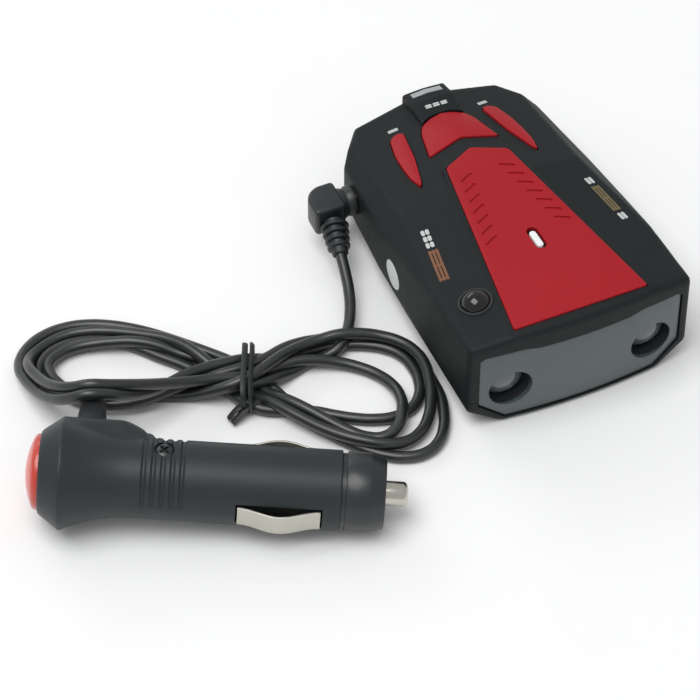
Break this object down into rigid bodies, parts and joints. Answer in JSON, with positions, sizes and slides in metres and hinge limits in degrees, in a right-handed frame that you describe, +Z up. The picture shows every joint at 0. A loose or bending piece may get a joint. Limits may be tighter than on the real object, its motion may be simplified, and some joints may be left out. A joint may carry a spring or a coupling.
{
  "type": "radar detector",
  "caption": "Wedge-shaped car radar detector with red panel and buttons, tied thin cord and 12 V lighter plug with a switch.",
  "frame": {"origin": "middle of the detector's base, on the surface that it stands on", "axes": "+Z up; +Y towards the buttons and the display; the window with the laser eyes faces -Y; the power socket is in the -X wall"},
  "size_m": [0.1854, 0.1283, 0.0342],
  "materials": {
    "soft_touch_black": "soft satin",
    "smoked_window": "smooth satin",
    "black_moulding": "satin",
    "clear_lens": "polished",
    "red_lacquer": "satin lacquer",
    "light_guide": "clear moulded",
    "gloss_black": "polished",
    "circuit_board": "solder mask",
    "cast_metal": "as cast",
    "screw_steel": "plated",
    "label_white": "printed film",
    "nickel": "bright nickel",
    "cord_black": "smooth PVC",
    "plug_housing": "fine satin",
    "switch_red": "translucent gloss",
    "fuse_glass": "clear tube"
  },
  "bodies": {
    "detector": {"top_shell": "soft_touch_black", "bottom_shell": "soft_touch_black", "front_window": "smoked_window", "lens_cups": "black_moulding", "laser_lens_left": "clear_lens", "laser_lens_right": "clear_lens", "laser_sensors": "black_moulding", "red_panel": "red_lacquer", "light_pipe": "light_guide", "sensor_dome": "gloss_black", "dome_ring": "black_moulding", "rear_lens": "light_guide", "display_window": "gloss_black", "display_module": "black_moulding", "main_board": "circuit_board", "horn_antenna": "cast_metal", "antenna_board": "circuit_board", "speaker": "black_moulding", "dc_jack": "black_moulding", "button_switches": "black_moulding", "case_screws": "screw_steel", "board_screws": "screw_steel", "rating_label": "label_white", "side_label": "label_white"},
    "left_button": {"left_button": "red_lacquer"},
    "middle_button": {"middle_button": "red_lacquer"},
    "right_button": {"right_button": "red_lacquer"},
    "lead": {"dc_plug_barrel": "nickel", "dc_plug_insulator": "cord_black", "dc_plug_body": "cord_black", "dc_strain_relief": "cord_black", "cord_run": "cord_black", "cord_bundle": "cord_black", "cord_tie": "cord_black", "cord_tail": "cord_black", "plug_relief": "cord_black", "plug_upper_half": "plug_housing", "plug_lower_half": "plug_housing", "plug_screw": "screw_steel", "switch_module": "black_moulding", "plug_board": "circuit_board", "tip_spring": "nickel"},
    "switch_button": {"switch_button": "switch_red"},
    "nose_cap": {"nose_cap": "plug_housing"},
    "centre_tip": {"centre_tip": "nickel", "fuse": "fuse_glass"},
    "side_contact_near": {"side_contact_near": "nickel"},
    "side_contact_far": {"side_contact_far": "nickel"}
  },
  "joints": [
    {"name": "left_button_press", "type": "slide", "parent": "detector", "child": "left_button", "axis": [0, 0, -1], "range_m": [0, 0.0007], "stiffness_N_per_m": 900, "springref_m": -0.0004},
    {"name": "middle_button_press", "type": "slide", "parent": "detector", "child": "middle_button", "axis": [0, 0, -1], "range_m": [0, 0.0007], "stiffness_N_per_m": 900, "springref_m": -0.0004},
    {"name": "right_button_press", "type": "slide", "parent": "detector", "child": "right_button", "axis": [0, 0, -1], "range_m": [0, 0.0007], "stiffness_N_per_m": 900, "springref_m": -0.0004},
    {"name": "lead_unplug", "type": "slide", "parent": "detector", "child": "lead", "axis": [-1, 0, 0], "range_m": [0, 0.012]},
    {"name": "switch_press", "type": "slide", "parent": "lead", "child": "switch_button", "axis": [0.8973, -0.4376, -0.0574], "range_m": [0, 0.0015], "stiffness_N_per_m": 900, "springref_m": -0.0005},
    {"name": "nose_cap_unscrew", "type": "slide", "parent": "lead", "child": "nose_cap", "axis": [0.8973, -0.4376, -0.0574], "range_m": [0, 0.012]},
    {"name": "tip_press", "type": "slide", "parent": "nose_cap", "child": "centre_tip", "axis": [-0.8973, 0.4376, 0.0574], "range_m": [0, 0.003], "stiffness_N_per_m": 600, "springref_m": -0.001, "deforming": ["tip_spring"]},
    {"name": "near_contact_press", "type": "slide", "parent": "lead", "child": "side_contact_near", "axis": [0.4384, 0.8988, 0], "range_m": [0, 0.0022], "stiffness_N_per_m": 900, "springref_m": -0.0004},
    {"name": "far_contact_press", "type": "slide", "parent": "lead", "child": "side_contact_far", "axis": [-0.4384, -0.8988, 0], "range_m": [0, 0.0022], "stiffness_N_per_m": 900, "springref_m": -0.0004}
  ]
}
